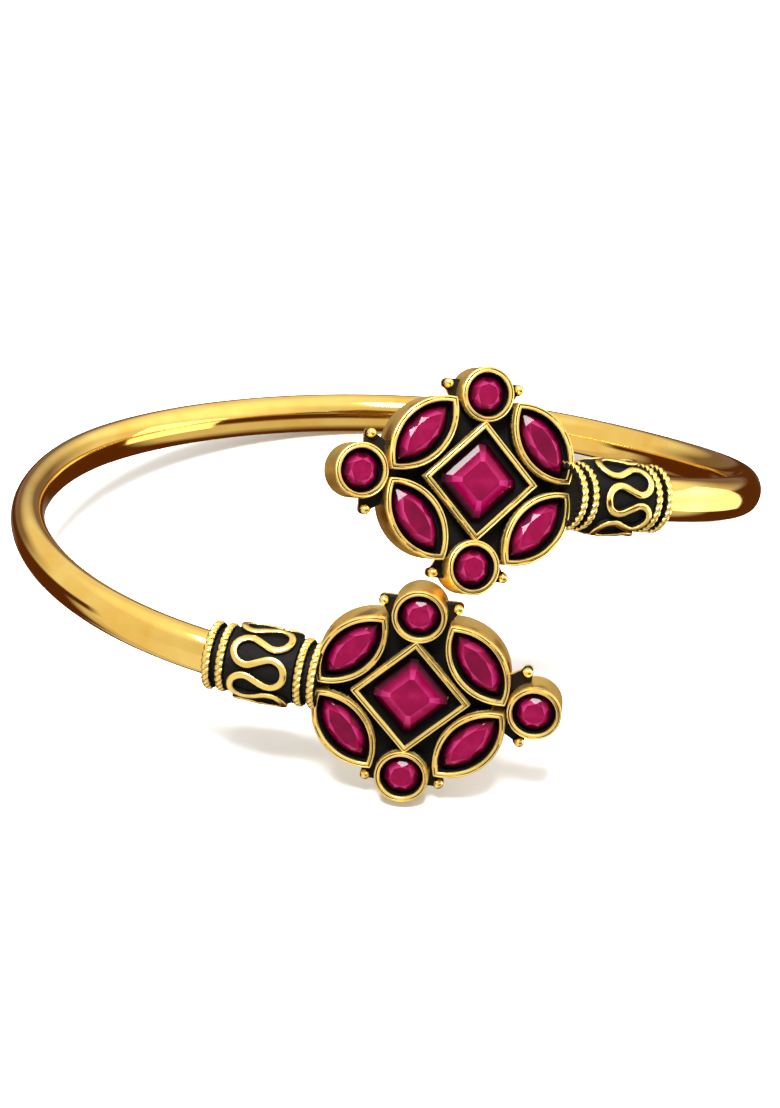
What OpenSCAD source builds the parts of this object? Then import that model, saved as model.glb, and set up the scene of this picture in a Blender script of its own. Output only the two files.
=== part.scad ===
// Open bypass bangle: a bent rod whose two ends carry a ribbed collar and a
// flower head set with cut stones. It is drawn as it lies on a table.
// Millimetres. Z is up, and the origin is on the table under the middle.

/* [Rod] */
// Inside width of the bangle across the wrist
inside_width = 60.3; // [58:0.1:63]
// Width of the rod along the wrist
rod_width = 3.7; // [3.4:0.1:4]
// Thickness of the rod away from the wrist
rod_thickness = 2.95; // [2.7:0.05:3.2]
// Radius of the two tighter bends beside the heads
front_radius = 22.7; // [21:0.1:24]
// Turn of the rod where the back arc passes into a tighter bend
back_turn = 76; // [70:1:80]
// Turn of the rod where it enters a collar
mouth_turn = 157; // [154:1:159]
// Slope at which the ends leave the plane of the back
rise_angle = 10.9; // [10:0.1:12]
// Length of rod from the middle of the back to where the rise begins
rise_start = 25.4; // [24:0.1:27]
// Length of rod from the middle of the back to where the slope is full
rise_full = 58.3; // [56:0.1:60]
// Length of rod inside a collar
rod_seat = 3; // [2:0.1:4]

/* [Collars] */
// Distance from the first rope ring to the last one
collar_length = 8.75; // [8.5:0.05:9]
// Distance between the two rope rings of a pair
rope_pitch = 1.12; // [1.05:0.01:1.2]
// Radius over the rope rings
rope_radius = 2.85; // [2.75:0.05:3]
// Thickness of a rope ring's wire
rope_wire = 0.84; // [0.7:0.02:0.9]
// Radius of the blackened ground under the scroll, at its ends
ground_radius = 2.62; // [2.55:0.01:2.7]
// Swelling of the collar at its middle
belly = 0.12; // [0:0.02:0.2]
// Height of the scroll strip over the ground
scroll_height = 0.48; // [0.3:0.02:0.6]
// Width of the scroll strip
scroll_strip = 0.56; // [0.4:0.02:0.6]
// Outer radius of the scroll's loops
loop_outer = 1.45; // [1.4:0.01:1.5]

/* [Heads] */
// Depth of a head from its rims to its flat back
head_depth = 2.95; // [2.8:0.05:3]
// Depth of the blackened ground below the rims
ground_depth = 1.5; // [1.2:0.05:1.7]
// Depth of the stone seats below the rims
seat_depth = 1.1; // [0.9:0.05:1.2]
// Thickness of a bezel wall at its rim
bezel_wall = 0.46; // [0.4:0.02:0.5]
// Half of the square bezel's diagonal
square_reach = 4.82; // [4.7:0.02:4.9]
// Outer radius of the round bezels
round_radius = 2.2; // [2.1:0.02:2.3]
// Distance of the upper and lower round bezels from the middle
round_rise = 6.87; // [6.8:0.01:6.95]
// Distance of the outer round bezel from the middle
round_reach = 9.95; // [9.85:0.01:10]
// Length of a pointed bezel
marquise_length = 7.9; // [7.7:0.05:8]
// Width of a pointed bezel
marquise_width = 4.34; // [4.2:0.02:4.5]
// Radius of the small grains beside the round bezels
grain_radius = 0.4; // [0.3:0.02:0.44]
// Radius of the round back plate that joins the bezels
plate_radius = 6.7; // [6.4:0.1:6.8]

/* [Stones] */
// Gap between a stone and its seat
stone_gap = 0.05; // [0.03:0.01:0.1]
// Free margin between a round stone and the wall of its bezel
round_margin = 0.16; // [0.16:0.02:0.4]
// Free margin between a pointed stone and the wall of its bezel
marquise_margin = 0.24; // [0.2:0.02:0.5]
// Free margin between the square stone and the wall of its bezel
square_margin = 0.5; // [0.4:0.02:0.8]
// Depth of the tables below the rims
table_depth = 0.12; // [0:0.01:0.3]

/* [Rest] */
// Lean of the bangle as it lies, front up when negative
rest_pitch = -15; // [-16:0.1:-14]
// Sideways lean of the bangle as it lies
rest_roll = 3.6; // [3:0.1:4.2]

/* [Hidden] */

gold = "#d9a62e";
ruby = "#b3124f";
// Room for one solid to pass cleanly into or beside another
overlap = 1;

// Each end was set by hand: its side, the lift and turn of its collar,
// the roll, spin and bend of its head, how far the head stands out,
// and the turn of its scroll.
END_NAMES = ["upper", "lower"];
ENDS = [
    [1, -1.8, -1.3, 13.5, 0.7, -15, 0.9, 20],
    [-1, -6.8, 1.7, -0.7, 0.2, -8.9, 1.3, 38],
];
function side(end) = ENDS[end][0];
function collar_lift(end) = ENDS[end][1];
function collar_turn(end) = ENDS[end][2];
function head_roll(end) = ENDS[end][3];
function head_spin(end) = ENDS[end][4];
function head_bend(end) = ENDS[end][5];
function head_stand(end) = ENDS[end][6];
function scroll_turn(end) = ENDS[end][7];

// The rod's centre line, by its length s from the middle of the back.
function arc_length(radius, angle) = radius * angle * PI / 180;
function arc_turn(radius, length) = length / radius * 180 / PI;
half_width = inside_width / 2 + rod_thickness / 2;
back_radius = (half_width - front_radius * (1 - sin(back_turn))) / sin(back_turn);
back_length = arc_length(back_radius, back_turn);
mouth_length = back_length + arc_length(front_radius, mouth_turn - back_turn);
rise_slope = tan(rise_angle);
function turn_at(s) = s < back_length
    ? arc_turn(back_radius, s)
    : back_turn + arc_turn(front_radius, s - back_length);
function x_at(s) = s < back_length
    ? back_radius * sin(turn_at(s))
    : back_radius * sin(back_turn) + front_radius * (sin(turn_at(s)) - sin(back_turn));
function y_at(s) = s < back_length
    ? back_radius * cos(turn_at(s))
    : back_radius * cos(back_turn) + front_radius * (cos(turn_at(s)) - cos(back_turn));
function z_at(s) = s < rise_start ? 0
    : s < rise_full ? rise_slope * pow(s - rise_start, 2) / (2 * (rise_full - rise_start))
    : rise_slope * ((rise_full - rise_start) / 2 + s - rise_full);
function slope_at(s) = rise_slope * min(1, max(0, (s - rise_start) / (rise_full - rise_start)));
mouth_point = [x_at(mouth_length), y_at(mouth_length), z_at(mouth_length)];

// A direction from its turn round the wrist and its pitch, and the two across it.
function along(turn, pitch) = [cos(turn) * cos(pitch), -sin(turn) * cos(pitch), sin(pitch)];
function outward(turn) = [sin(turn), cos(turn), 0];

// One cross section of the rod: an oval of rod_sides points.
rod_sides = 16;
rod_steps = 34;
function oval(centre, turn, pitch) =
    let (out = outward(turn), up = cross(along(turn, pitch), out))
    [for (i = [0:rod_sides - 1]) let (a = 360 * i / rod_sides)
        centre + rod_thickness / 2 * cos(a) * out + rod_width / 2 * sin(a) * up];

// The rod from the middle of the back into one collar, drawn for the right side.
function half_rod(end) =
    let (turn = mouth_turn - collar_turn(end), pitch = rise_angle + collar_lift(end))
    [for (k = [0:rod_steps]) let (s = mouth_length * k / rod_steps)
        oval([x_at(s), y_at(s), z_at(s)],
            k == rod_steps ? (turn + mouth_turn) / 2 : turn_at(s),
            k == rod_steps ? pitch - collar_lift(end) / 2 : atan(slope_at(s))),
     oval(mouth_point + rod_seat * along(turn, pitch), turn, pitch)];

// Half a turn about the Y axis carries the right side to the left.
function half_turn(p) = [-p[0], p[1], -p[2]];
function mirrored_ring(ring) =
    [for (i = [0:rod_sides - 1]) half_turn(ring[(rod_sides - i) % rod_sides])];

module band() {
    right = half_rod(0);
    left = half_rod(1);
    rings = concat(
        [for (k = [rod_steps + 1:-1:1]) mirrored_ring(left[k])],
        right
    );
    count = len(rings);
    color(gold) lying() polyhedron(
        points = [for (ring = rings) for (p = ring) p],
        faces = concat(
            [for (k = [0:count - 2]) for (i = [0:rod_sides - 1])
                let (j = (i + 1) % rod_sides)
                [k * rod_sides + i, (k + 1) * rod_sides + i,
                    (k + 1) * rod_sides + j, k * rod_sides + j]],
            [[for (i = [0:rod_sides - 1]) i]],
            [[for (i = [rod_sides - 1:-1:0]) (count - 1) * rod_sides + i]]
        )
    );
}

// Placing: the whole bangle as it lies, one collar, and one head.
rest_shift = [0, -0.99, 10.334];
module lying() {
    translate(rest_shift) rotate([rest_pitch, rest_roll, 0]) children();
}

// X runs along the collar towards the head, Y points away from the wrist.
module at_collar(end) {
    lying()
        rotate([0, side(end) == 1 ? 0 : 180, 0])
            translate(mouth_point)
                rotate([0, -rise_angle - collar_lift(end), collar_turn(end) - mouth_turn])
                    children();
}

// X runs towards the free end, Y up the head, Z down from the rims to the back.
neck_length = 8.5;
head_reach = 7.8;
head_offset = 0.5;
module at_head(end) {
    at_collar(end)
        translate([neck_length, 0, 0])
            rotate([head_roll(end), head_spin(end), head_bend(end)])
                translate([head_reach, head_stand(end), head_offset])
                    rotate([90, 0, 0]) children();
}

// Collar: a turned body with rope rings, a raised scroll and a socket for the rod.
mouth_lip = 0.42;
scroll_room = 0.05;
scroll_start = rope_pitch + rope_wire / 2 + scroll_room;
scroll_end = collar_length - scroll_start;
scroll_middle = (scroll_start + scroll_end) / 2;
socket_gap = 0.12;
seat_end_gap = 0.1;
barrel_steps = 6;
function barrel(rise) = [for (i = [0:barrel_steps])
    [ground_radius + rise + belly * sin(180 * i / barrel_steps),
        scroll_start + (scroll_end - scroll_start) * i / barrel_steps]];
module collar_body() {
    rope_ring = rope_radius - rope_wire / 2;
    rotate([90, 0, 90]) rotate_extrude($fn = 48) {
        polygon(concat(
            [[0, -mouth_lip], [rope_ring, -mouth_lip], [rope_ring, scroll_start]],
            barrel(0),
            [[rope_ring, scroll_end], [rope_ring, collar_length], [0, collar_length]]
        ));
        for (x = [0, rope_pitch, collar_length - rope_pitch, collar_length])
            translate([rope_ring, x]) circle(d = rope_wire, $fn = 24);
    }
}

// The scroll is a strip of round loops joined by straight bars, laid round the barrel.
scroll_loops = 6;
scroll_pitch = 360 / scroll_loops;
scroll_margin = 0.3;
loop_middle = loop_outer - scroll_strip / 2;
loop_x = (scroll_end - scroll_start) / 2 - scroll_margin - loop_outer;
loop_y = PI * (ground_radius + scroll_height) / scroll_loops;
loop_span = norm([2 * loop_x, loop_y]);
bar_tilt = atan2(loop_y, -2 * loop_x) + asin(2 * loop_middle / loop_span) - 180;
bar_length = sqrt(pow(loop_span, 2) - pow(2 * loop_middle, 2));
strip_foot = ground_radius - 0.8;
strip_depth = 2;
bar_overlap = 0.05;
module scroll() {
    intersection() {
        for (k = [0:scroll_loops - 1]) rotate([k * scroll_pitch, 0, 0]) {
            strip_loop(1);
            rotate([scroll_pitch / 2, 0, 0]) strip_loop(-1);
            rotate([scroll_pitch / 4, 0, 0]) strip_bar(bar_tilt);
            rotate([-scroll_pitch / 4, 0, 0]) strip_bar(-bar_tilt);
        }
        rotate([90, 0, 90]) rotate_extrude($fn = 48) polygon(concat(
            [[0, scroll_start]], barrel(scroll_height), [[0, scroll_end]]));
    }
}
module strip_loop(way) {
    sweep = 180 + 2 * bar_tilt;
    translate([scroll_middle + way * loop_x, 0, strip_foot])
        rotate([0, 0, way == 1 ? -sweep / 2 : 180 - sweep / 2])
            rotate_extrude(angle = sweep, $fn = 32)
                translate([loop_outer - scroll_strip, 0]) square([scroll_strip, strip_depth]);
}
module strip_bar(tilt) {
    translate([scroll_middle, 0, strip_foot + strip_depth / 2]) rotate([0, 0, tilt])
        cube([bar_length + bar_overlap, scroll_strip, strip_depth], center = true);
}

// Outlines of the three kinds of bezel, drawn in the plane of the head.
lens_radius = (pow(marquise_length, 2) / 4 + pow(marquise_width, 2) / 4) / marquise_width;
lens_centre = lens_radius - marquise_width / 2;
module lens(inset) {
    intersection() {
        translate([0, lens_centre]) circle(r = lens_radius - inset, $fn = 96);
        translate([0, -lens_centre]) circle(r = lens_radius - inset, $fn = 96);
    }
}
module diamond(reach) {
    rotate(45) square(reach * sqrt(2), center = true);
}

// Where the bezels are on a head.
marquise_at = [5.07, 3.4];
marquise_turn = 129.4;
ROUND_PLACES = [[0, round_rise], [round_reach, 0], [0, -round_rise]];
module at_marquise(i) {
    mirror([i > 2 ? 1 : 0, 0]) mirror([0, i % 2 == 0 ? 1 : 0])
        translate(marquise_at) rotate(marquise_turn) children();
}

// All the bezels as flat outlines, larger or smaller by inset.
module bezel_outlines(inset) {
    diamond(square_reach - inset * sqrt(2));
    for (i = [1:4]) at_marquise(i) lens(inset);
    for (place = ROUND_PLACES) translate(place) circle(r = round_radius - inset, $fn = 48);
}

// Grains stand beside the round bezels, on small pads at the ends of low webs.
grain_away = 3;
grain_rise = round_rise + 0.65;
grain_reach = round_reach - 0.9;
GRAIN_PLACES = [
    for (v = [-1, 1]) for (u = [-1, 1]) [u * grain_away, v * grain_rise],
    for (v = [-1, 1]) [grain_reach, v * grain_away],
];
pad_radius = 0.45;
pad_height = 0.6;
web_height = pad_height - 0.1;
web_outer = 0.4;
web_inner = 1.4;
web_taper = 0.6;
module web() {
    translate([0, 0, ground_depth]) linear_extrude(web_height) polygon([
        [-grain_away, web_outer], [grain_away, web_outer], [grain_away, -web_outer],
        [grain_away - web_taper, -web_inner], [web_taper - grain_away, -web_inner],
        [-grain_away, -web_outer]
    ]);
}

// The back plate is a disc with a bar along the middle, from the collar to the outer bezel.
plate_depth = head_depth - ground_depth;
bar_from = -8.4;
bar_to = 8.6;
bar_width = 2.6;
bar_step = 0.1;
module back_plate() {
    translate([0, 0, ground_depth]) cylinder(h = plate_depth, r = plate_radius, $fn = 96);
    translate([bar_from, -bar_width / 2, ground_depth])
        cube([bar_to - bar_from, bar_width, plate_depth - bar_step]);
}

module head_metal() {
    linear_extrude(head_depth) bezel_outlines(0);
    back_plate();
    translate([0, grain_rise, 0]) web();
    mirror([0, 1, 0]) translate([0, grain_rise, 0]) web();
    translate([grain_reach, 0, 0]) rotate(-90) web();
    for (place = GRAIN_PLACES) translate(place) {
        translate([0, 0, ground_depth]) cylinder(h = pad_height, r = pad_radius, $fn = 24);
        translate([0, 0, ground_depth - grain_radius / 2]) sphere(r = grain_radius, $fn = 24);
    }
}

// The seats are cut from collar and head together, so nothing reaches into them.
module seats() {
    translate([0, 0, -overlap]) linear_extrude(seat_depth + overlap) bezel_outlines(bezel_wall);
}

module end_casting(end) {
    color(gold) {
        difference() {
            union() {
                at_collar(end) {
                    collar_body();
                    rotate([-scroll_turn(end), 0, 0]) scroll();
                }
                at_head(end) head_metal();
            }
            at_collar(end) socket();
            at_head(end) seats();
        }
    }
}
module socket() {
    depth = rod_seat + seat_end_gap;
    translate([-overlap, 0, 0]) rotate([90, 0, 90]) linear_extrude(depth + overlap)
        scale([rod_thickness / 2 + socket_gap, rod_width / 2 + socket_gap])
            circle(r = 1, $fn = 48);
}

// Stones: a flat base, a thin girdle and a faceted crown with a table.
step_depth = 0.32;
girdle_depth = 0.72;
base_depth = seat_depth - stone_gap;
table_share = 0.58;
step_share = 0.84;
base_share = 0.94;
corner_crop = 0.9;
layer_height = 0.01;
module square_stone() {
    reach = square_reach - (bezel_wall + square_margin) * sqrt(2);
    hull() {
        cut_layer(table_depth) cropped_square(reach * table_share);
        cut_layer(step_depth) cropped_square(reach * step_share);
        cut_layer(girdle_depth) cropped_square(reach);
        cut_layer(base_depth) cropped_square(reach * base_share);
    }
}
module cropped_square(reach) {
    intersection() {
        diamond(reach);
        square(2 * corner_crop * reach, center = true);
    }
}
module cut_layer(depth) {
    translate([0, 0, depth]) linear_extrude(layer_height) children();
}
module round_stone() {
    radius = round_radius - bezel_wall - round_margin;
    half_side = 360 / 32;
    hull() {
        cut_layer(table_depth) circle(r = radius * table_share, $fn = 8);
        cut_layer(girdle_depth) rotate(half_side) circle(r = radius, $fn = 16);
        cut_layer(base_depth) rotate(half_side) circle(r = radius * base_share, $fn = 16);
    }
}
crown_inset = 0.62;
base_inset = 0.1;
module marquise_stone() {
    inset = bezel_wall + marquise_margin;
    hull() {
        cut_layer(table_depth) pointed(inset + crown_inset, 4);
        cut_layer(girdle_depth) pointed(inset, 6);
        cut_layer(base_depth) pointed(inset + base_inset, 6);
    }
}
// The lens outline with each arc in a few straight steps.
module pointed(inset, steps) {
    radius = lens_radius - inset;
    half = acos(lens_centre / radius);
    polygon([for (way = [1, -1]) for (i = [0:steps - 1])
        let (a = half * (1 - 2 * i / steps))
        way * [radius * sin(a), radius * cos(a) - lens_centre]]);
}

band();
for (end = [0, 1]) {
    end_casting(end);
    color(ruby) at_head(end) square_stone();
    for (i = [1:4])
        color(ruby) at_head(end) at_marquise(i) marquise_stone();
    for (i = [1:3])
        color(ruby) at_head(end) translate(ROUND_PLACES[i - 1]) round_stone();
}
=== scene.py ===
import math

import bpy
from mathutils import Matrix, Vector, noise


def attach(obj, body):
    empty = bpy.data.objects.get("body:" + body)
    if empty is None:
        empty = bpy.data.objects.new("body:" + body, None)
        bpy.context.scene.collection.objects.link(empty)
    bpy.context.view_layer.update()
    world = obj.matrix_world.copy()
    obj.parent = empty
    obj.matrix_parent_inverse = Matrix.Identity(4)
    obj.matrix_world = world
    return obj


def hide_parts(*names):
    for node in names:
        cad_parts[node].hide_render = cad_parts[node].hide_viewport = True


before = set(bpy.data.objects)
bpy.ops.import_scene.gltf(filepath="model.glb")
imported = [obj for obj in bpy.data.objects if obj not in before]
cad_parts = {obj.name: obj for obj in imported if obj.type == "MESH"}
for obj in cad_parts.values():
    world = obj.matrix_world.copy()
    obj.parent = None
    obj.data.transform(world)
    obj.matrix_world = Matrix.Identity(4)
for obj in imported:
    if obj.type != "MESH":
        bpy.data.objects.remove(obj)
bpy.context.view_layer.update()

# Sizes here are in millimetres, in the same frame as the solids.
millimetre = 0.001
bangle = {
    "insideWidth": 60.3,
    "frontRadius": 22.7,
    "backTurn": 76,  # degrees from the middle of the back to the tighter front
    "mouthTurn": 157,  # and on to the mouth
    "riseAngle": 10.9,
    "riseStart": 25.4,  # along the rod from the middle of the back
    "riseFull": 58.3,
    "restLean": -15,
    "restRoll": 3.6,
    "restShift": (0, -0.99, 10.334),
}

# How each end was set: the collar's lift and turn, and how the head is bent on it.
# The scroll is the angle at which its pattern starts.
ends = {
    "upper": {
        "side": 1, "lift": -1.8, "turn": -1.3,
        "roll": 13.5, "spin": 0.7, "bend": -15, "stand": 0.9, "scroll": 20,
    },
    "lower": {
        "side": -1, "lift": -6.8, "turn": 1.7,
        "roll": -0.7, "spin": 0.2, "bend": -8.9, "stand": 1.3, "scroll": 38,
    },
}


class Link:
    # A socket that can be used in sums like a number.
    def __init__(self, table, socket):
        self.table = table
        self.socket = socket

    def math(self, operation, *values):
        return self.table.node("Math", {"operation": operation}, *values)

    def __add__(self, other):
        return self.math("ADD", self, other)

    def __radd__(self, other):
        return self.math("ADD", other, self)

    def __sub__(self, other):
        return self.math("SUBTRACT", self, other)

    def __rsub__(self, other):
        return self.math("SUBTRACT", other, self)

    def __mul__(self, other):
        return self.math("MULTIPLY", self, other)

    def __rmul__(self, other):
        return self.math("MULTIPLY", other, self)

    def __abs__(self):
        return self.math("ABSOLUTE", self)

    def ramp(self, low, high):
        return self.table.node("MapRange", {"clamp": True}, self, low, high)


class NodeTable:
    # Adds nodes to one node tree.
    def __init__(self, tree):
        self.tree = tree

    def node(self, kind, settings, *values, output=0, sockets=None):
        # The values fill the sockets in order, and the others go by name or number.
        made = self.tree.nodes.new("ShaderNode" + kind)
        for key, value in settings.items():
            setattr(made, key, value)
        for socket, value in zip(made.inputs, values):
            self.put(socket, value)
        for key, value in (sockets or {}).items():
            self.put(made.inputs[key], value)
        return Link(self, made.outputs[output])

    def put(self, socket, value):
        if isinstance(value, Link):
            self.tree.links.new(value.socket, socket)
        else:
            socket.default_value = value

    def blend(self, amount, first, second):
        # A colour Mix has its own sockets for colours.
        return self.node("Mix", {"data_type": "RGBA"}, output=2, sockets={0: amount, 6: first, 7: second})

    def scaled(self, vector, scale):
        return self.node("VectorMath", {"operation": "SCALE"}, vector, sockets={"Scale": scale})


class Recipe(NodeTable):
    # A material under construction, with places in millimetres.
    def __init__(self, name):
        self.material = bpy.data.materials.new(name)
        self.material.use_nodes = True
        super().__init__(self.material.node_tree)
        self.shader = self.tree.nodes["Principled BSDF"]
        self.place = self.scaled(self.node("TexCoord", {}, output="Object"), 1 / millimetre)

    def speckle(self, scale, detail=3):
        return self.node("TexNoise", {}, self.place, sockets={"Scale": scale, "Detail": detail})

    def layer(self, name):
        return self.node("Attribute", {"attribute_name": name}, output="Fac")

    def bumped(self, height, strength, depth):
        sockets = {"Strength": strength, "Distance": depth * millimetre, "Height": height}
        return self.node("Bump", {}, sockets=sockets)

    def set(self, **sockets):
        for key, value in sockets.items():
            self.put(self.shader.inputs[key.replace("_", " ")], value)
        return self.material


print("metal and stone materials")
metal = {
    "bright": (0.95, 0.65, 0.17, 1),
    "warm": (0.88, 0.52, 0.10, 1),
    "worn": (1.0, 0.73, 0.22, 1),
    "tarnish": (0.003, 0.0025, 0.002, 1),
}

# The scales are speckles per millimetre.
rodFinish = {
    "cloudScale": 0.25, "cloudRange": (0.35, 0.7), "scratchScale": 9, "scratchDetail": 6,
    "roughness": 0.05, "cloudRoughness": 0.05, "bump": 0.04, "bumpDepth": 0.02,
}


def makeRodGold():
    look = rodFinish
    recipe = Recipe("rodGold")
    cloud = recipe.speckle(look["cloudScale"])
    scratch = recipe.speckle(look["scratchScale"], look["scratchDetail"])
    return recipe.set(
        Base_Color=recipe.blend(cloud.ramp(*look["cloudRange"]), metal["bright"], metal["warm"]),
        Metallic=1.0,
        Roughness=look["roughness"] + cloud * look["cloudRoughness"],
        Normal=recipe.bumped(scratch, look["bump"], look["bumpDepth"]),
    )


castFinish = {
    "gritScale": 5, "gritDetail": 5, "gritDark": 0.6,
    "pitScale": 2.6, "pitDetail": 2, "pitRange": (0.64, 0.72), "pitDark": 0.3,
    "wearScale": 0.8, "wearRange": (0.45, 0.7), "darkRange": (0.38, 0.62),
    "roughness": 0.1, "darkRoughness": 0.3, "gritRoughness": 0.06,
    "dullRange": (0.03, 0.12), "dullRoughness": 0.25,
    "specular": 0.1, "bump": 0.3, "bumpDepth": 0.06, "bareBump": 0.25,
}


def makeCastGold():
    look = castFinish
    recipe = Recipe("castGold")
    tarnish = recipe.layer("tarnish")
    grit = recipe.speckle(look["gritScale"], look["gritDetail"])
    pits = recipe.speckle(look["pitScale"], look["pitDetail"]).ramp(*look["pitRange"])
    dark = (tarnish + (grit - 0.5) * look["gritDark"] + pits * look["pitDark"]).ramp(*look["darkRange"])
    wear = recipe.speckle(look["wearScale"]).ramp(*look["wearRange"])
    gold = recipe.blend(wear, metal["worn"], metal["bright"])
    smooth = look["roughness"] + dark * look["darkRoughness"] + grit * look["gritRoughness"]
    return recipe.set(
        Base_Color=recipe.blend(dark, gold, metal["tarnish"]),
        Metallic=1 - dark,
        Roughness=smooth + tarnish.ramp(*look["dullRange"]) * look["dullRoughness"],
        Specular_IOR_Level=look["specular"],
        Normal=recipe.bumped(grit * (look["bareBump"] + dark), look["bump"], look["bumpDepth"]),
    )


# Stone colours: deep is the stone's own red; edge is painted shade on the outer facets, and pale is painted
# reflection on the facets by the table.
gem = {
    "edge": (0.008, 0.0003, 0.002, 1),
    "deep": (0.125, 0.0003, 0.022, 1),
    "pale": (0.26, 0.018, 0.09, 1),
    "cloudScale": 1.1, "cloudPaintedLight": 0.3, "deepRange": (0.05, 0.5), "paleRange": (0.5, 1.0),
    "roughness": 0.03, "specular": 0.12, "refraction": 1.5,
}


def makeRuby():
    recipe = Recipe("rubyStone")
    # The shade layer is painted light from dark 0 to pale 1, shifted by a random cloud: low values blend in
    # the painted shade, high values the painted reflection.
    paintedLightAndCloud = recipe.layer("shade") + (recipe.speckle(gem["cloudScale"]) - 0.5) * gem["cloudPaintedLight"]
    deep = recipe.blend(paintedLightAndCloud.ramp(*gem["deepRange"]), gem["edge"], gem["deep"])
    return recipe.set(
        Base_Color=recipe.blend(paintedLightAndCloud.ramp(*gem["paleRange"]), deep, gem["pale"]),
        Metallic=0.0,
        Roughness=gem["roughness"],
        Specular_IOR_Level=gem["specular"],
        IOR=gem["refraction"],
    )


rodGold = makeRodGold()
castGold = makeCastGold()
ruby = makeRuby()


def turned(angle, axis):
    return Matrix.Rotation(math.radians(angle), 4, axis)


def moved(x, y, z):
    return Matrix.Translation((x, y, z))


def mirrored(x, y):
    return Matrix.Diagonal((x, y, 1, 1))


def roundAngles(count):
    return [2 * math.pi * i / count for i in range(count)]


restPlace = moved(*bangle["restShift"]) @ turned(bangle["restRoll"], "Y") @ turned(bangle["restLean"], "X")

# The last stretch before the mouth bends over to the collar's own direction.
rod = {
    "width": 3.7, "thickness": 2.95, "seat": 2.95, "seatStart": 0.4, "lastBend": 1.2,
    "sides": 40, "halfSteps": 110,
}

backTurn = math.radians(bangle["backTurn"])
mouthTurn = math.radians(bangle["mouthTurn"])
halfWidth = bangle["insideWidth"] / 2 + rod["thickness"] / 2
backRadius = (halfWidth - bangle["frontRadius"] * (1 - math.sin(backTurn))) / math.sin(backTurn)
backLength = backRadius * backTurn
mouthLength = backLength + bangle["frontRadius"] * (mouthTurn - backTurn)
riseSlope = math.tan(math.radians(bangle["riseAngle"]))


def rodTurn(s):
    return s / backRadius if s < backLength else backTurn + (s - backLength) / bangle["frontRadius"]


def rodPoint(s):
    turn = rodTurn(s)
    x, y = backRadius * math.sin(turn), backRadius * math.cos(turn)
    if s > backLength:
        extra = backRadius - bangle["frontRadius"]
        x = bangle["frontRadius"] * math.sin(turn) + extra * math.sin(backTurn)
        y = bangle["frontRadius"] * math.cos(turn) + extra * math.cos(backTurn)
    start, full = bangle["riseStart"], bangle["riseFull"]
    z = 0
    if s > start:
        z = riseSlope * (s - start) ** 2 / (2 * (full - start))
    if s > full:
        z = riseSlope * ((full - start) / 2 + s - full)
    return Vector((x, y, z))


def along(turn, pitch):
    return Vector((math.cos(turn) * math.cos(pitch), -math.sin(turn) * math.cos(pitch), math.sin(pitch)))


# The neck is how far along the collar its head is set on.
collar = {
    "length": 8.75, "lip": 0.42, "ground": 2.62, "belly": 0.12, "neck": 8.5, "step": 0.12, "chamfer": 0.1,
    "closing": 0.5, "socketDepth": 2.9, "socketGap": 0.12, "barrelSteps": 24, "columns": 140,
    "rough": 0.05, "roughAlong": 3, "roughAround": 9,
}
# Two strands twist into each rope. Bare metal shows above the crest and within the flank.
rope = {
    "pitch": 1.12, "radius": 2.85, "wire": 0.84, "turns": 14, "strand": 0.235, "turnSteps": 14, "sides": 9,
    "stagger": 2, "wobble": 0.02, "wobbleAlong": 5, "wobbleAround": 3,
    "crest": 0.31, "crestFade": 0.35, "flank": 0.16, "flankFade": 0.2,
}
# The ground is the black plate between the bezels, down from their rims.
head = {"reach": 7.8, "offset": 0.5, "depth": 2.95, "ground": 1.5, "seat": 1.1, "wall": 0.46}


def collarPlace(end):
    half = Matrix.Identity(4) if end["side"] == 1 else turned(180, "Y")
    mouth = moved(*rodPoint(mouthLength))
    tip = turned(end["turn"] - bangle["mouthTurn"], "Z") @ turned(-bangle["riseAngle"] - end["lift"], "Y")
    return restPlace @ half @ mouth @ tip


def headPlace(end):
    bent = turned(end["bend"], "Z") @ turned(end["spin"], "Y") @ turned(end["roll"], "X")
    return (
        collarPlace(end) @ moved(collar["neck"], 0, 0) @ bent
        @ moved(head["reach"], end["stand"], head["offset"]) @ turned(90, "X")
    )


class Shape:
    # Points and faces of one mesh, each point with a darkness from 0 to 1; a stone's points carry its painted
    # light instead, from dark 0 to pale 1.
    def __init__(self):
        self.points, self.faces, self.darks = [], [], []

    def ring(self, points, darks):
        start = len(self.points)
        self.points += [Vector(p) for p in points]
        self.darks += darks if isinstance(darks, list) else [darks] * len(points)
        return list(range(start, start + len(points)))

    def loft(self, rings, closed=True, looped=False):
        pairs = list(zip(rings, rings[1:])) + ([(rings[-1], rings[0])] if looped else [])
        for low, high in pairs:
            count = len(low)
            for i in range(count if closed else count - 1):
                j = (i + 1) % count
                self.faces.append((low[i], low[j], high[j], high[i]))

    def cap(self, ring, flip=False):
        self.faces.append(tuple(reversed(ring)) if flip else tuple(ring))

    def ball(self, centre, radius, dark=0.0, rows=10, columns=18):
        rings = []
        for row in range(1, rows):
            v = math.pi * row / rows
            points = []
            for a in roundAngles(columns):
                out = Vector((math.sin(v) * math.cos(a), math.sin(v) * math.sin(a), math.cos(v)))
                points.append(Vector(centre) + radius * out)
            rings.append(self.ring(points, dark))
        self.loft(rings[::-1])
        self.cap(rings[0])
        self.cap(rings[-1], True)


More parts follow.
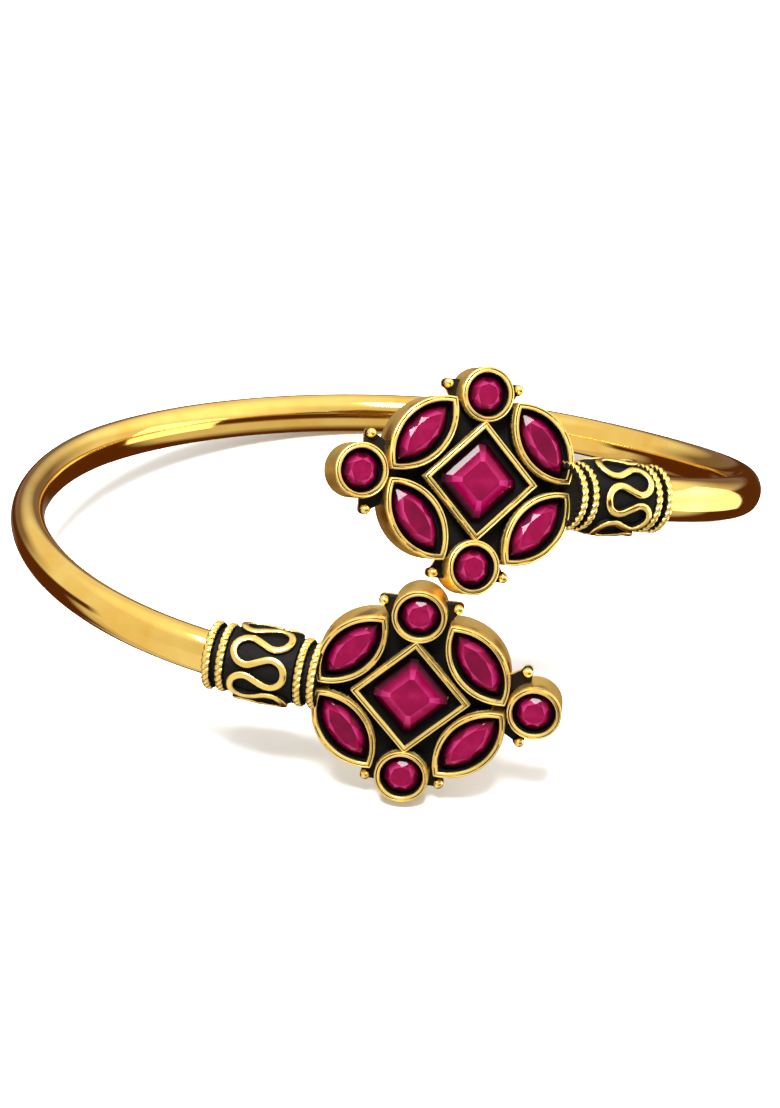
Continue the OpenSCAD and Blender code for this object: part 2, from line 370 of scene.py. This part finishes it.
def addPiece(name, shape, place, material, slotName, *nodes, layer="tarnish", sharp=35):
    mesh = bpy.data.meshes.new(name)
    mesh.from_pydata([(place @ p) * millimetre for p in shape.points], [], shape.faces)
    mesh.validate()
    values = mesh.attributes.new(layer, "FLOAT", "POINT")
    values.data.foreach_set("value", shape.darks)
    mesh.shade_smooth()
    mesh.set_sharp_from_angle(angle=math.radians(sharp))
    mesh.materials.append(material)
    piece = bpy.data.objects.new(name, mesh)
    bpy.context.scene.collection.objects.link(piece)
    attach(piece, "root")
    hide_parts(*nodes)


def addHeadPiece(name, part, shape, place, sharp=35):
    addPiece(name + part, shape, place, castGold, "head_gold", name + "_head", sharp=sharp)


print("rod")


def rodSection(centre, turn, pitch):
    forward = along(turn, pitch)
    out = Vector((math.sin(turn), math.cos(turn), 0))
    up = forward.cross(out)
    return [
        centre + out * (rod["thickness"] / 2 * math.cos(a)) + up * (rod["width"] / 2 * math.sin(a))
        for a in roundAngles(rod["sides"])
    ]


def halfRod(end):
    start, full = bangle["riseStart"], bangle["riseFull"]
    turn = mouthTurn - math.radians(end["turn"])
    pitch = math.radians(bangle["riseAngle"] + end["lift"])
    sections = []
    for k in range(rod["halfSteps"] + 1):
        s = mouthLength * k / rod["halfSteps"]
        slope = math.atan(riseSlope * min(1, max(0, (s - start) / (full - start))))
        near = max(0, 1 - (mouthLength - s) / rod["lastBend"]) / 2
        bent = rodTurn(s) + (turn - rodTurn(s)) * near
        sections.append(rodSection(rodPoint(s), bent, slope + (pitch - slope) * near))
    for far in (rod["seatStart"], rod["seat"]):
        sections.append(rodSection(rodPoint(mouthLength) + along(turn, pitch) * far, turn, pitch))
    return sections


def makeRod():
    shape = Shape()
    left = []
    for section in halfRod(ends["lower"])[:0:-1]:
        flipped = [Vector((-p.x, p.y, -p.z)) for p in section]
        left.append([flipped[-i % rod["sides"]] for i in range(rod["sides"])])
    rings = [shape.ring(section, 0.0) for section in left + halfRod(ends["upper"])]
    shape.loft(rings)
    shape.cap(rings[0], True)
    shape.cap(rings[-1])
    addPiece("rod", shape, restPlace, rodGold, "rod_gold", "band")


makeRod()

print("collars")
scrollWork = {
    "loops": 6, "strip": 0.56, "height": 0.48, "foot": -0.2, "outer": 1.45, "margin": 0.3, "room": 0.05,
    "round": 0.1, "crown": 0.02, "arcSteps": 24, "barSteps": 5, "barFrom": 0.3, "wave": 0.03, "wavePitch": 2,
    # The rounded edge: how far in and down, in parts of "round", and how dark
    "edge": [(0, 1.6, 0.75), (0.35, 0.5, 0.2)],
}

ropeMiddle = rope["radius"] - rope["wire"] / 2
scrollStart = rope["pitch"] + rope["wire"] / 2 + scrollWork["room"]
scrollEnd = collar["length"] - scrollStart
scrollMiddle = (scrollStart + scrollEnd) / 2
scrollRadius = collar["ground"] + scrollWork["height"]


def barrelRadius(x):
    share = min(1, max(0, (x - scrollStart) / (scrollEnd - scrollStart)))
    return collar["ground"] + collar["belly"] * math.sin(math.pi * share)


def aroundCollar(x, radius, angle):
    return Vector((x, radius * math.sin(angle), radius * math.cos(angle)))


def wobbled(x, angle, amount, alongScale, aroundScale):
    # An uneven height that closes on itself around the collar
    spot = Vector((x * alongScale, aroundScale * math.sin(angle), aroundScale * math.cos(angle)))
    return amount * noise.noise(spot)


def makeCollar(name, end):
    shape = Shape()
    lip, step, chamfer = collar["lip"], collar["step"], collar["chamfer"]
    low = ropeMiddle - step
    stations = [(-lip, low - chamfer), (-lip + chamfer, low), (scrollStart - step, low)]
    for i in range(collar["barrelSteps"] + 1):
        x = scrollStart + (scrollEnd - scrollStart) * i / collar["barrelSteps"]
        stations.append((x, barrelRadius(x)))
    stations += [(scrollEnd + step, low), (collar["length"], low)]
    stations.append((collar["length"] + chamfer, collar["closing"]))
    angles = roundAngles(collar["columns"])
    rough = (collar["rough"], collar["roughAlong"], collar["roughAround"])
    rings = []
    for x, radius in stations:
        points = [aroundCollar(x, radius + wobbled(x, a, *rough), a) for a in angles]
        rings.append(shape.ring(points, 1.0))
    # The socket's dark mouth
    across, high = rod["thickness"] / 2 + collar["socketGap"], rod["width"] / 2 + collar["socketGap"]
    socket = []
    for depth in (collar["socketDepth"], -lip):
        points = [Vector((depth, across * math.sin(a), high * math.cos(a))) for a in angles]
        socket.append(shape.ring(points, 1.0))
    shape.loft((socket + rings)[::-1])
    shape.cap(rings[-1], True)
    addHeadPiece(name, "Collar", shape, collarPlace(end))


def strandPath(x, half):
    # One wire of a rope that lies round the collar at x
    steps = rope["turns"] * rope["turnSteps"]
    offset = rope["wire"] / 2 - rope["strand"]
    path = []
    for a in roundAngles(steps):
        twist = rope["turns"] * a + half * math.pi + x * rope["stagger"]
        wobble = wobbled(x, a, rope["wobble"], rope["wobbleAlong"], rope["wobbleAround"])
        radius = ropeMiddle + offset * math.cos(twist) + wobble
        path.append(aroundCollar(x + offset * math.sin(twist), radius, a))
    return path


def ropeDark(p, x):
    # Black lies in the grooves and where the rope meets the ground.
    low = (ropeMiddle + rope["crest"] - math.hypot(p.y, p.z)) / rope["crestFade"]
    return min(1, max(0, low, (abs(p.x - x) - rope["flank"]) / rope["flankFade"]))


def makeRopes(name, end):
    shape = Shape()
    for x in (0, rope["pitch"], collar["length"] - rope["pitch"], collar["length"]):
        for half in (0, 1):
            path = strandPath(x, half)
            rings = []
            for k, point in enumerate(path):
                forward = (path[(k + 1) % len(path)] - path[k - 1]).normalized()
                side = forward.cross(Vector((1, 0, 0))).normalized()
                up = side.cross(forward)
                wire = [
                    point + rope["strand"] * (math.cos(b) * side + math.sin(b) * up)
                    for b in roundAngles(rope["sides"])
                ]
                rings.append(shape.ring(wire, [ropeDark(p, x) for p in wire]))
            shape.loft(rings[::-1], looped=True)
    addHeadPiece(name, "Ropes", shape, collarPlace(end), sharp=80)


def scrollPath():
    # One full round of the scroll, flat, as points along the collar and around it.
    loops, strip, arcSteps = scrollWork["loops"], scrollWork["strip"], scrollWork["arcSteps"]
    middle = scrollWork["outer"] - strip / 2
    period = 2 * math.pi * scrollRadius / loops
    aside = (scrollEnd - scrollStart) / 2 - scrollWork["margin"] - scrollWork["outer"]
    span = math.hypot(2 * aside, period / 2)
    tilt = math.atan2(period / 2, -2 * aside) + math.asin(2 * middle / span) - math.pi
    sweep = math.pi / 2 + tilt
    points = []
    for k in range(loops):
        for way in (1, -1):
            x = scrollMiddle + way * aside
            y = period * (k + (0 if way == 1 else 0.5))
            for i in range(arcSteps + 1):
                a = way * sweep * (2 * i / arcSteps - 1) + (0 if way == 1 else math.pi)
                points.append((x + middle * math.cos(a), y + middle * math.sin(a)))
    full = []
    count = len(points)
    for i, (x, y) in enumerate(points):
        full.append((x, y))
        nextX, nextY = points[(i + 1) % count]
        if i + 1 == count:
            nextY += period * loops
        if math.hypot(nextX - x, nextY - y) > scrollWork["barFrom"]:
            for j in range(1, scrollWork["barSteps"]):
                share = j / scrollWork["barSteps"]
                full.append((x + (nextX - x) * share, y + (nextY - y) * share))
    return full, period * loops


def makeScroll(name, end):
    shape = Shape()
    path, around = scrollPath()
    half, height, soft = scrollWork["strip"] / 2, scrollWork["height"], scrollWork["round"]
    wave, pitch = scrollWork["wave"], scrollWork["wavePitch"]
    # Half of the strip's section: how far across, how high and how dark
    edge = [(-half, scrollWork["foot"], 1.0)]
    edge += [(-half + soft * inward, height - soft * down, dark) for inward, down, dark in scrollWork["edge"]]
    edge.append((-half + soft, height - scrollWork["crown"], 0.0))
    profile = edge + [(0, height, 0.0)] + [(-across, rise, dark) for across, rise, dark in edge[::-1]]
    rings = []
    for k, (x, y) in enumerate(path):
        before, after = path[k - 1], path[(k + 1) % len(path)]
        dx = after[0] - before[0]
        dy = (after[1] - before[1]) % around
        dy = dy - around if dy > around / 2 else dy
        size = math.hypot(dx, dy)
        nx, ny = -dy / size, dx / size
        points = []
        for across, rise, dark in profile:
            px, py = x + nx * across, y + ny * across
            spot = Vector((px * pitch, math.sin(py) * pitch, math.cos(py)))
            radius = barrelRadius(px) + rise + wave * noise.noise(spot)
            points.append(aroundCollar(px, radius, py / scrollRadius + math.radians(end["scroll"])))
        rings.append(shape.ring(points, [dark for across, rise, dark in profile]))
    shape.loft(rings[::-1], closed=False, looped=True)
    addHeadPiece(name, "Scroll", shape, collarPlace(end), sharp=50)


for name, end in ends.items():
    makeCollar(name, end)
    makeRopes(name, end)
    makeScroll(name, end)

print("flower heads")
bezels = {
    "squareReach": 4.82, "roundRadius": 2.2, "roundRise": 6.87, "roundReach": 9.95,
    "leafLength": 7.9, "leafWidth": 4.34, "leafPlace": (5.07, 3.4), "leafTurn": 129.4,
    "roundSteps": 64, "leafSteps": 48, "squareSteps": 20,
}
leafRadius = (bezels["leafLength"] ** 2 / 4 + bezels["leafWidth"] ** 2 / 4) / bezels["leafWidth"]
leafCentre = leafRadius - bezels["leafWidth"] / 2


def circle(x, y, radius, steps=40):
    return [Vector((x + radius * math.cos(a), y + radius * math.sin(a), 0)) for a in roundAngles(steps)]


def roundOutline(inset):
    return circle(0, 0, bezels["roundRadius"] - inset, bezels["roundSteps"])


def leafOutline(inset):
    radius = leafRadius - inset
    half = math.acos(leafCentre / radius)
    points = []
    for way in (-1, 1):
        for i in range(bezels["leafSteps"]):
            a = half * (1 - 2 * i / bezels["leafSteps"])
            points.append(Vector((-way * radius * math.sin(a), -way * (radius * math.cos(a) - leafCentre), 0)))
    return points


def squareOutline(inset):
    reach = bezels["squareReach"] - inset * math.sqrt(2)
    corners = [Vector((reach, 0, 0)), Vector((0, reach, 0)), Vector((-reach, 0, 0)), Vector((0, -reach, 0))]
    points = []
    for i, corner in enumerate(corners):
        following = corners[(i + 1) % 4]
        points += [corner.lerp(following, j / bezels["squareSteps"]) for j in range(bezels["squareSteps"])]
    return points


def leafPlace(i):
    place = moved(*bezels["leafPlace"], 0) @ turned(bezels["leafTurn"], "Z")
    if i % 2 == 0:
        place = mirrored(1, -1) @ place
    if i > 2:
        place = mirrored(-1, 1) @ place
    return place


roundSpots = [(0, bezels["roundRise"]), (bezels["roundReach"], 0), (0, -bezels["roundRise"])]
settings = [("square", 1, squareOutline, Matrix.Identity(4))]
settings += [("marquise", i, leafOutline, leafPlace(i)) for i in range(1, 5)]
settings += [("round", i + 1, roundOutline, moved(x, y, 0)) for i, (x, y) in enumerate(roundSpots)]

# The profile runs from the back up the outer wall and over the lip into the seat:
# how far in, how far down, and how dark.
rim = {
    "profile": [
        (0.0, head["depth"], 0.2), (0.0, 1.6, 0.14), (0.0, 0.6, 0.12), (0.0, 0.12, 0.2),
        (0.04, 0.04, 0.4), (0.1, 0.02, 0.1), (0.13, 0.03, 0.25), (0.16, 0.09, 0.75), (0.21, 0.09, 0.75),
        (0.24, 0.02, 0.25), (0.29, 0.0, 0.0), (0.40, 0.01, 0.0),
        (head["wall"] - 0.01, 0.07, 0.1), (head["wall"], 0.25, 0.8),
    ],
    "wave": 0.03, "wavePitch": 0.9, "waveInset": 2, "blotch": 1.1, "blotchPitch": 0.7,
    "hollowReach": 6.9, "hollowFade": 0.4, "hollowDepth": 1.6,
    "seatTop": 0.3, "seatDark": 0.9, "seatFloor": 0.5,
}


def roughened(point, amount, pitch):
    return amount * noise.noise(point * pitch)


def rimDark(q, inset, down, dark, point):
    # Between the bezels the walls stay black.
    hollow = 0.0
    if not inset and down <= rim["hollowDepth"]:
        hollow = min(1, max(0, (rim["hollowReach"] - q.length) / rim["hollowFade"])) * min(1, down)
    return max(hollow, dark * (1 + roughened(point, rim["blotch"], rim["blotchPitch"])))


def makeRims(name, end):
    shape = Shape()
    inside = Shape()
    wall, seat = head["wall"], head["seat"]
    seatProfile = [
        (wall, rim["seatTop"], rim["seatDark"]), (wall, seat, 1.0), (wall + rim["seatFloor"], seat, 1.0),
    ]
    for kind, number, outline, place in settings:
        rings = []
        flip = place.determinant() < 0
        for inset, down, dark in rim["profile"]:
            points, darks = [], []
            for p in outline(inset):
                q = place @ p
                wave = roughened(q + Vector((0, 0, inset * rim["waveInset"])), rim["wave"], rim["wavePitch"])
                points.append(q + Vector((0, 0, down + (wave if down < head["depth"] else 0))))
                darks.append(rimDark(q, inset, down, dark, points[-1]))
            rings.append(shape.ring(points, darks))
        shape.loft(rings if flip else rings[::-1])
        shape.cap(rings[0], flip)
        deep = []
        for inset, down, dark in seatProfile:
            deep.append(inside.ring([place @ p + Vector((0, 0, down)) for p in outline(inset)], dark))
        inside.loft(deep if flip else deep[::-1])
        inside.cap(deep[-1], not flip)
    addHeadPiece(name, "Rims", shape, headPlace(end))
    addHeadPiece(name, "Seats", inside, headPlace(end))


# Plates and bars lie low between the bezels, and grains sit on the bars' ends.
ground = {
    "plateRadius": 6.7, "plateSteps": 120, "bar": (-8.4, 8.6, -1.3, 1.3), "backStep": 0.01, "barStep": 0.1,
    "grain": 0.42, "grainAway": 3.0, "grainPast": 0.65, "grainShort": 0.9, "padRadius": 0.4, "padHeight": 0.6,
    "webTaper": 0.6, "webOuter": 0.4, "webInner": 1.4,
}
# Black on top, and bare metal below where it rubs on the wrist
slabShade = {"bottom": 0.1, "side": 0.3, "top": 1.0, "sideUp": 0.15, "topDown": 0.1, "shrink": 0.1 / 6}


def slab(shape, outline, top, bottom):
    shade = slabShade
    rings = []
    for down, shrink, dark in (
        (bottom, 0, shade["bottom"]), (bottom - shade["sideUp"], 0, shade["side"]),
        (top + shade["topDown"], 0, shade["top"]), (top, shade["shrink"], shade["top"]),
    ):
        points = [Vector((p.x * (1 - shrink), p.y * (1 - shrink), down)) for p in outline]
        rings.append(shape.ring(points, dark))
    shape.loft(rings[::-1])
    shape.cap(rings[0])
    shape.cap(rings[-1], True)


def box(x0, x1, y0, y1):
    return [Vector(p) for p in ((x0, y0, 0), (x1, y0, 0), (x1, y1, 0), (x0, y1, 0))]


def webOutline():
    away, outer, inner = ground["grainAway"], ground["webOuter"], ground["webInner"]
    right = [(away - ground["webTaper"], -inner), (away, -outer), (away, outer)]
    return [Vector((x, y, 0)) for x, y in right] + [Vector((-x, y, 0)) for x, y in right[::-1]]


def makeGround(name, end):
    shape = Shape()
    grains = Shape()
    top, bottom = head["ground"], head["depth"] - ground["backStep"]
    slab(shape, circle(0, 0, ground["plateRadius"], ground["plateSteps"]), top, bottom)
    slab(shape, box(*ground["bar"]), top, bottom - ground["barStep"])
    away, foot = ground["grainAway"], top + ground["padHeight"]
    grainRise = bezels["roundRise"] + ground["grainPast"]
    grainReach = bezels["roundReach"] - ground["grainShort"]
    for angle, reach in ((0, grainRise), (180, grainRise), (-90, grainReach)):
        place = turned(angle, "Z") @ moved(0, reach, 0)
        slab(shape, [place @ p for p in webOutline()], top, foot)
    spots = [(way * away, side * grainRise) for way in (-1, 1) for side in (-1, 1)]
    spots += [(grainReach, -away), (grainReach, away)]
    for x, y in spots:
        slab(shape, circle(x, y, ground["padRadius"]), top, foot)
        grains.ball((x, y, top - ground["grain"] / 2), ground["grain"])
    addHeadPiece(name, "Plate", shape, headPlace(end))
    addHeadPiece(name, "Grains", grains, headPlace(end), sharp=80)


for name, end in ends.items():
    makeRims(name, end)
    makeGround(name, end)

print("stones")
stones = {
    "table": 0.12, "step": 0.32, "girdle": 0.72, "girdleHeight": 0.12, "base": 1.04,
    "round": 0.16, "marquise": 0.24, "square": 0.5,
    "tableInset": 0.72, "stepInset": 0.42, "girdleInset": 0.12, "baseInset": 0.1,
    # Each corner has its own painted light, from dark 0 to pale 1: painted reflections make the facets
    # flicker, and painted shade darkens their edges.
    "tableShades": (0.5, 0.3), "starShades": (0.65, 0.95, 0.95), "starFade": 0.4,
    "kiteShades": (0.55, 0.85), "kiteTip": 0.1, "kiteFade": 0.35,
    "lowShades": (0.3, 0.45), "lowTip": 0.05,
}


def facet(shape, points, shades):
    shape.faces.append(tuple(shape.ring(points, shades)))


def brilliant(shape, outline, place, inset, flip):
    # A table ringed by kites and triangles, over sixteen points of girdle.
    def at(layerInset, share, down):
        points = outline(inset + layerInset)
        return place @ points[round(share * len(points)) % len(points)] + Vector((0, 0, down))

    def lay(*corners):
        corners = corners if flip else corners[::-1]
        facet(shape, [point for point, shade in corners], [shade for point, shade in corners])

    girdle = stones["girdle"]
    table = [at(stones["tableInset"], i / 8, stones["table"]) for i in range(8)]
    middle = [at(stones["stepInset"], (i + 0.5) / 8, stones["step"]) for i in range(8)]
    low = [at(stones["girdleInset"], i / 16, girdle - stones["girdleHeight"]) for i in range(16)]
    edge = [at(0, i / 16, girdle) for i in range(16)]
    base = [at(stones["baseInset"], i / 16, stones["base"]) for i in range(16)]
    # Painted light: facets by the table are painted brighter, and the girdle and base are left in painted
    # shade.
    first, second = stones["lowShades"]
    lay(*[(p, stones["tableShades"][i % 2]) for i, p in enumerate(table)])
    for i in range(8):
        j = (i + 1) % 8
        star, kite = stones["starShades"][i % 3], stones["kiteShades"][i % 2]
        tip, side = kite + stones["kiteTip"], kite - stones["kiteFade"]
        lay((table[i], star), (middle[i], star - stones["starFade"]), (table[j], star))
        lay((table[i], tip), (middle[i - 1], side), (low[2 * i], 0.0), (middle[i], side))
        lay((middle[i], first), (low[2 * i], 0.0), (low[2 * i + 1], 0.0))
        lay((middle[i], second), (low[2 * i + 1], stones["lowTip"]), (low[(2 * i + 2) % 16], 0.0))
    for i in range(16):
        j = (i + 1) % 16
        lay((low[i], 0.0), (edge[i], 0.0), (edge[j], 0.0), (low[j], 0.0))
        lay((edge[i], 0.0), (base[i], 0.0), (base[j], 0.0), (edge[j], 0.0))
    lay(*[(p, 0.0) for p in base[::-1]])


# Each layer's share of the width and its depth, from the table to the base, then the
# painted light of the table's corners and of each row's long and short facets, above and below:
# painted reflections by the table, painted shade at the girdle and base
stepped = {
    "crop": 0.9,
    "layers": [(0.5, 0.12), (0.76, 0.3), (0.94, 0.6), (1, 0.72), (0.94, 1.04)],
    "table": [0.5, 0.35, 0.45, 0.55, 0.5, 0.4, 0.35, 0.5],
    "above": [(1.0, 0.7), (0.5, 0.3), (0.05, 0.0), (0.0, 0.0)],
    "below": [(0.65, 0.4), (0.1, 0.0), (0.0, 0.0), (0.0, 0.0)],
}


def stepCut(shape, place, inset):
    def layer(share, down):
        reach = (bezels["squareReach"] - inset * math.sqrt(2)) * share
        crop = reach * stepped["crop"]
        cut = reach - crop
        points = []
        for a in range(4):
            c, s = math.cos(math.pi * a / 2), math.sin(math.pi * a / 2)
            for x, y in ((crop, -cut), (crop, cut)):
                points.append(place @ Vector((x * c - y * s, x * s + y * c, down)))
        return points

    layers = [layer(share, down) for share, down in stepped["layers"]]
    facet(shape, layers[0][::-1], stepped["table"])
    for k, (above, below) in enumerate(zip(stepped["above"], stepped["below"])):
        for i in range(8):
            j = (i + 1) % 8
            near, far = above[i % 2], below[i % 2]
            corners = [layers[k][i], layers[k][j], layers[k + 1][j], layers[k + 1][i]]
            facet(shape, corners, [near, near, far, far])
    facet(shape, layers[-1], 0.0)


for name, end in ends.items():
    for kind, number, outline, place in settings:
        shape = Shape()
        inset = head["wall"] + stones[kind]
        if kind == "square":
            stepCut(shape, place, inset)
            pieceName, node = name + "Square", name + "_square_stone"
        else:
            brilliant(shape, outline, place, inset, place.determinant() < 0)
            pieceName, node = f"{name}{kind.capitalize()}{number}", f"{name}_{kind}_stone_{number}"
        # The stones carry their painted light in the shade layer.
        addPiece(pieceName, shape, headPlace(end), ruby, "ruby_stone", node, layer="shade", sharp=3)

print("floor and lights")
# Places and sizes in the studio are in metres.
studio = {
    "floor": (0.9, 0.9, 0.9, 1),
    "floorReach": 3,
    "floorRoughness": 0.7,
    "lights": [
        {"place": (-0.058, -0.161, 0.470), "size": (0.18, 0.18), "power": 6.0, "aim": (0, -0.02, 0.015)},
        {"place": (0.10, -0.02, 0.0), "size": (0.08, 0.09), "power": 0.04, "aim": (0, -0.02, 0)},
    ],
}


def makeFloor():
    reach = studio["floorReach"]
    mesh = bpy.data.meshes.new("floor")
    corners = [(-reach, -reach, 0), (reach, -reach, 0), (reach, reach, 0), (-reach, reach, 0)]
    mesh.from_pydata(corners, [], [(0, 1, 2, 3)])
    pale = Recipe("paleFloor").set(Base_Color=studio["floor"], Roughness=studio["floorRoughness"])
    mesh.materials.append(pale)
    floor = bpy.data.objects.new("floor", mesh)
    bpy.context.scene.collection.objects.link(floor)
    floor.visible_glossy = False  # the metal reflects the darker surround instead


makeFloor()
bpy.context.scene.view_settings.view_transform = "Standard"

# Each pair is where a ramp starts and ends, on the parts of a direction, from -1 to 1.
surround = {
    "backdrop": (1, 1, 1, 1), "tent": (1.0, 0.985, 0.95), "shade": (0.10, 0.03, 0.006, 1),
    "tableTilt": 0.2, "tableDrop": 0.13, "tableEdge": 0.01,
    "seam": (0.08, 0.17), "seamFront": (0.3, 0.8), "seamWider": (0.06, 0.13),  # added in front
    "behind": (0.35, 0.75), "behindLow": (0.1, 0.4), "behindDark": 0.85,  # the tent's far wall
    "front": (-0.02, 0.18), "frontDown": (0.7, 1.0), "frontLight": 0.75,  # the table in front
    "back": (0.75, 0.95), "backLight": 0.35,  # the table behind
    "left": (0.15, 0.3), "leftDown": (0.74, 0.84), "leftLight": 0.75,  # the table at the left
    "leftBack": (0.35, 0.5), "leftNear": (0.1, 0.25),
    "side": (0.1, 0.3), "sideFront": (0.0, 0.12),  # an open side at the front left
    "level": 0.95, "right": (0.3, 0.7), "rightUp": (0.25, 0.5), "rightMore": 0.6,
    "top": (0.7, 0.9), "topMore": 0.3, "fore": (0.3, 0.95), "foreLess": 0.15,
}


def makeSurround():
    # A bright tent, darker low behind, with a dark seam at table height. The table is pale
    # in front and at the left, and dark elsewhere. The camera sees plain white.
    world = bpy.data.worlds.new("studio")
    bpy.context.scene.world = world
    world.use_nodes = True
    table = NodeTable(world.node_tree)
    look = surround
    way = table.node("TexCoord", {}, output="Generated")
    side, depth, height = [table.node("SeparateXYZ", {}, way, output=axis) for axis in "XYZ"]
    left, near, down = 0 - side, 0 - depth, 0 - height

    offset = height + depth * look["tableTilt"] + look["tableDrop"]
    above = offset.ramp(-look["tableEdge"], look["tableEdge"])
    wider = near.ramp(*look["seamFront"])
    seam = abs(offset).ramp(*[edge + wider * more for edge, more in zip(look["seam"], look["seamWider"])])
    behind = depth.ramp(*look["behind"]) * (1 - height.ramp(*look["behindLow"])) * look["behindDark"]

    frontTable = near.ramp(*look["front"]) * (1 - down.ramp(*look["frontDown"])) * look["frontLight"]
    backTable = depth.ramp(*look["back"]) * look["backLight"]
    steep = down.ramp(*look["leftDown"]) * (1 - depth.ramp(*look["leftBack"]))
    leftFar = (1 - steep) * depth.ramp(*look["leftNear"])
    leftTable = left.ramp(*look["left"]) * (1 - leftFar) * look["leftLight"]
    lit = seam * (above * (1 - behind) + (1 - above) * (frontTable + backTable + leftTable))
    leftFront = left.ramp(*look["side"]) * near.ramp(*look["sideFront"])
    bright = 1 - (1 - leftFront) * (1 - lit)

    level = look["level"] + side.ramp(*look["right"]) * height.ramp(*look["rightUp"]) * look["rightMore"]
    level = level + height.ramp(*look["top"]) * look["topMore"]
    level = level - near.ramp(*look["fore"]) * above * look["foreLess"]
    around = table.blend(bright, look["shade"], table.scaled(look["tent"], level))
    seen = table.node("LightPath", {}, output="Is Camera Ray")
    table.put(
        world.node_tree.nodes["Background"].inputs["Color"],
        table.blend(seen, around, look["backdrop"]),
    )


makeSurround()

for number, setup in enumerate(studio["lights"]):
    light = bpy.data.lights.new(f"softbox{number}", "AREA")
    light.shape = "RECTANGLE"
    light.size, light.size_y = setup["size"]
    light.energy = setup["power"]
    lamp = bpy.data.objects.new(f"softbox{number}", light)
    lamp.location = setup["place"]
    aim = Vector(setup["aim"]) - Vector(setup["place"])
    lamp.rotation_euler = aim.to_track_quat("-Z", "Y").to_euler()
    bpy.context.scene.collection.objects.link(lamp)

print("camera")
view = {
    "place": (-0.036207, -0.200158, 0.139257), "turn": (56.541, -1.175, -9.499),
    "lens": 126.156, "sensor": 36, "clipStart": 0.01,
}
camera = bpy.data.objects.new("camera", bpy.data.cameras.new("camera"))
bpy.context.scene.collection.objects.link(camera)
bpy.context.scene.camera = camera
camera.location = view["place"]
camera.rotation_euler = [math.radians(a) for a in view["turn"]]
camera.data.sensor_fit = "HORIZONTAL"
camera.data.sensor_width = view["sensor"]
camera.data.lens = view["lens"]
camera.data.clip_start = view["clipStart"]
